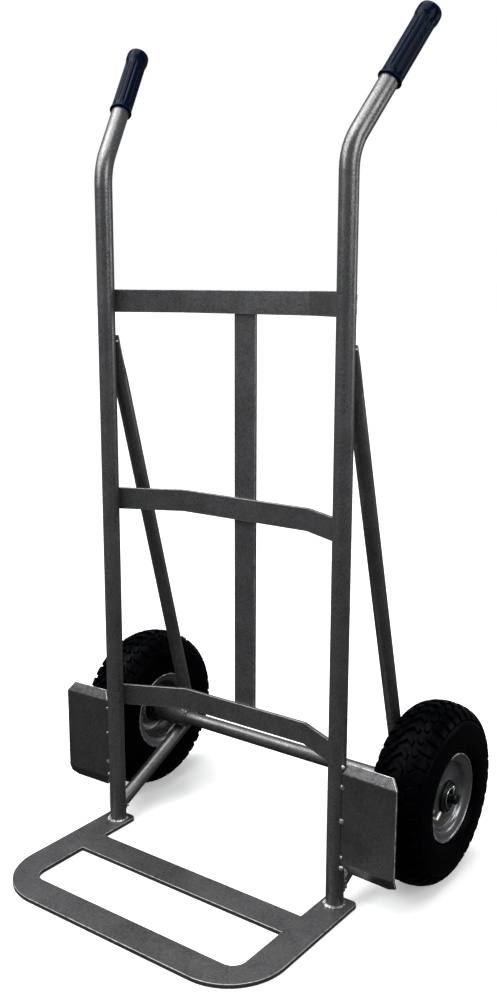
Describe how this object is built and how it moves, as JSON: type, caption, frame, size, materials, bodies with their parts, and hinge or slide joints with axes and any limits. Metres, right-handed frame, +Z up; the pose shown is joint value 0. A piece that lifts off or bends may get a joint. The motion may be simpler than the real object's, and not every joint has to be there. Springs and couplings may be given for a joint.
{
  "type": "hand truck",
  "caption": "Steel two-wheeled hand truck with a U-shaped toe plate, set-back crossbars, centre strap, wheel guards, raked handles with grips and pneumatic tyres.",
  "frame": {"origin": "on the floor under the centre of the bounding box, between the two wheels", "axes": "+X along the axle to the truck's side with the right-hand wheel, +Y backwards from the toe plate to the wheels, +Z up"},
  "size_m": [0.6142, 0.5184, 1.1675],
  "materials": {
    "grey_paint": "satin grey paint on welded steel",
    "grip_pvc": "soft fluted PVC, dark navy",
    "zinc_plate": "zinc plated",
    "axle_steel": "turned steel bar",
    "tyre_rubber": "black block tread tyre",
    "tube_butyl": "butyl inner tube",
    "rim_paint": "silver grey pressed steel",
    "hub_black": "black hub",
    "bearing_steel": "sealed ball bearing",
    "valve_brass": "plated brass",
    "valve_cap_plastic": "moulded cap"
  },
  "bodies": {
    "frame": {"toe_frame": "grey_paint", "toe_crossbar": "grey_paint", "stile_left": "grey_paint", "stile_right": "grey_paint", "grip_left": "grip_pvc", "grip_right": "grip_pvc", "top_crossbar": "grey_paint", "middle_crossbar": "grey_paint", "lower_crossbar": "grey_paint", "centre_strap": "grey_paint", "upper_brace_left": "grey_paint", "upper_brace_right": "grey_paint", "lower_brace_left": "grey_paint", "lower_brace_right": "grey_paint", "wheel_guard_left": "grey_paint", "wheel_guard_right": "grey_paint", "axle_tube": "grey_paint", "axle_sleeve_left": "grey_paint", "axle_sleeve_right": "grey_paint", "axle_rod": "axle_steel", "inner_washer_left": "zinc_plate", "inner_washer_right": "zinc_plate", "outer_washer_left": "zinc_plate", "outer_washer_right": "zinc_plate", "cotter_pin_left": "zinc_plate", "cotter_pin_right": "zinc_plate"},
    "wheel_left": {"tyre_left": "tyre_rubber", "inner_tube_left": "tube_butyl", "rim_outer_left": "rim_paint", "rim_inner_left": "rim_paint", "wheel_disc_left": "rim_paint", "hub_left": "hub_black", "bearing_inner_left": "bearing_steel", "bearing_outer_left": "bearing_steel", "valve_stem_left": "valve_brass", "valve_cap_left": "valve_cap_plastic"},
    "wheel_right": {"tyre_right": "tyre_rubber", "inner_tube_right": "tube_butyl", "rim_outer_right": "rim_paint", "rim_inner_right": "rim_paint", "wheel_disc_right": "rim_paint", "hub_right": "hub_black", "bearing_inner_right": "bearing_steel", "bearing_outer_right": "bearing_steel", "valve_stem_right": "valve_brass", "valve_cap_right": "valve_cap_plastic"}
  },
  "joints": [
    {"name": "left_wheel_spin", "type": "hinge", "parent": "frame", "child": "wheel_left", "pos_m": [-0.265, 0.12925, 0.13], "axis": [1, 0, 0], "continuous": true},
    {"name": "right_wheel_spin", "type": "hinge", "parent": "frame", "child": "wheel_right", "pos_m": [0.265, 0.12925, 0.13], "axis": [1, 0, 0], "continuous": true}
  ]
}
